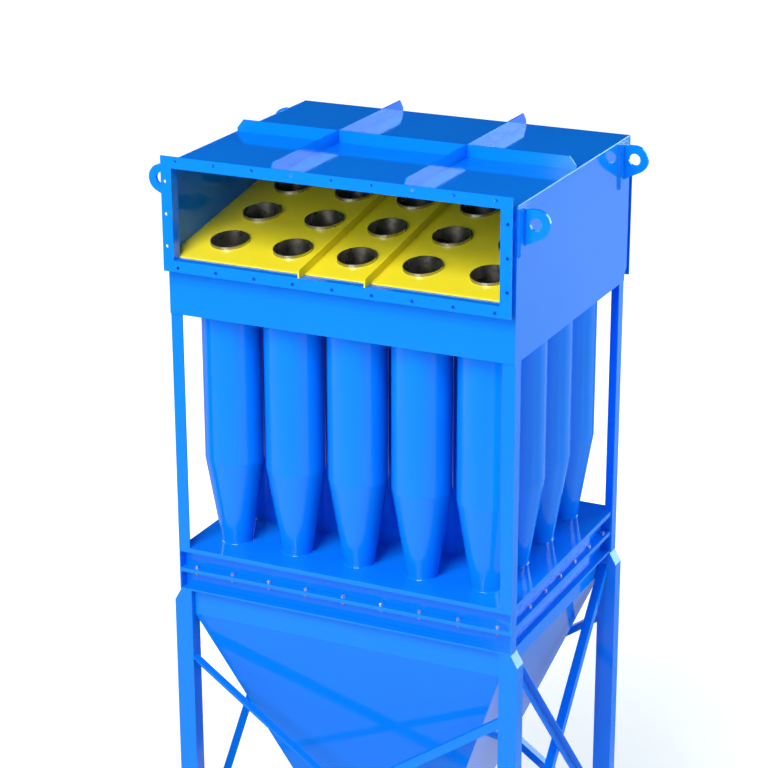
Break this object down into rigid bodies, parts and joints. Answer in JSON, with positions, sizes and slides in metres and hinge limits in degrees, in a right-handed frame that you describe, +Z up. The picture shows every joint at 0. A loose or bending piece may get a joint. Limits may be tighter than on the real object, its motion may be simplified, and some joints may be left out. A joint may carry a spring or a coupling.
{
  "type": "multi-tube cyclone separator",
  "caption": "Multi-tube cyclone dust separator: plate box with sloping outlet tube sheet, hanging cyclone cells, bolted channel frames, pyramid hopper and braced legs.",
  "frame": {"origin": "on the floor, under the centre of the whole plan", "axes": "+Z up, -Y towards the clean-gas outlet side, +X to the right seen from that side"},
  "size_m": [1.514, 1.142, 3.29],
  "materials": {
    "frame_blue": "gloss paint",
    "cell_blue": "gloss paint",
    "plate_blue": "gloss paint",
    "sheet_yellow": "gloss paint",
    "tube_steel": "dark satin steel"
  },
  "bodies": {
    "root": {"base_plates": "frame_blue", "cyclone_cells_row_1": "cell_blue", "cyclone_cells_row_2": "cell_blue", "cyclone_cells_row_3": "cell_blue", "cyclone_cells_row_4": "cell_blue", "dust_plate": "plate_blue", "frame_corner_plates": "frame_blue", "front_posts": "frame_blue", "front_rear_braces_inner": "frame_blue", "front_rear_braces_outer": "frame_blue", "front_wall": "frame_blue", "guide_vanes": "tube_steel", "hopper_front_wall": "frame_blue", "hopper_left_wall": "frame_blue", "hopper_outlet_flange": "frame_blue", "hopper_rear_wall": "frame_blue", "hopper_right_wall": "frame_blue", "inlet_duct_flange": "frame_blue", "left_side_wall": "frame_blue", "leg_front_left": "frame_blue", "leg_front_right": "frame_blue", "leg_rear_left": "frame_blue", "leg_rear_right": "frame_blue", "lifting_lug_front_left": "frame_blue", "lifting_lug_front_right": "frame_blue", "lifting_lug_rear_left": "frame_blue", "lifting_lug_rear_right": "frame_blue", "lower_frame_front_rear_channels": "frame_blue", "lower_frame_side_channels": "frame_blue", "lower_tube_sheet": "frame_blue", "outlet_duct_flange": "frame_blue", "outlet_sheet_ribs": "sheet_yellow", "outlet_tube_sheet": "sheet_yellow", "outlet_tubes": "tube_steel", "rear_posts": "frame_blue", "rear_wall": "frame_blue", "right_side_wall": "frame_blue", "roof_cross_rib": "frame_blue", "roof_long_ribs": "frame_blue", "roof_panel": "frame_blue", "side_braces_inner": "frame_blue", "side_braces_outer": "frame_blue", "upper_frame_front_rear_channels": "frame_blue", "upper_frame_side_channels": "frame_blue"}
  },
  "joints": []
}
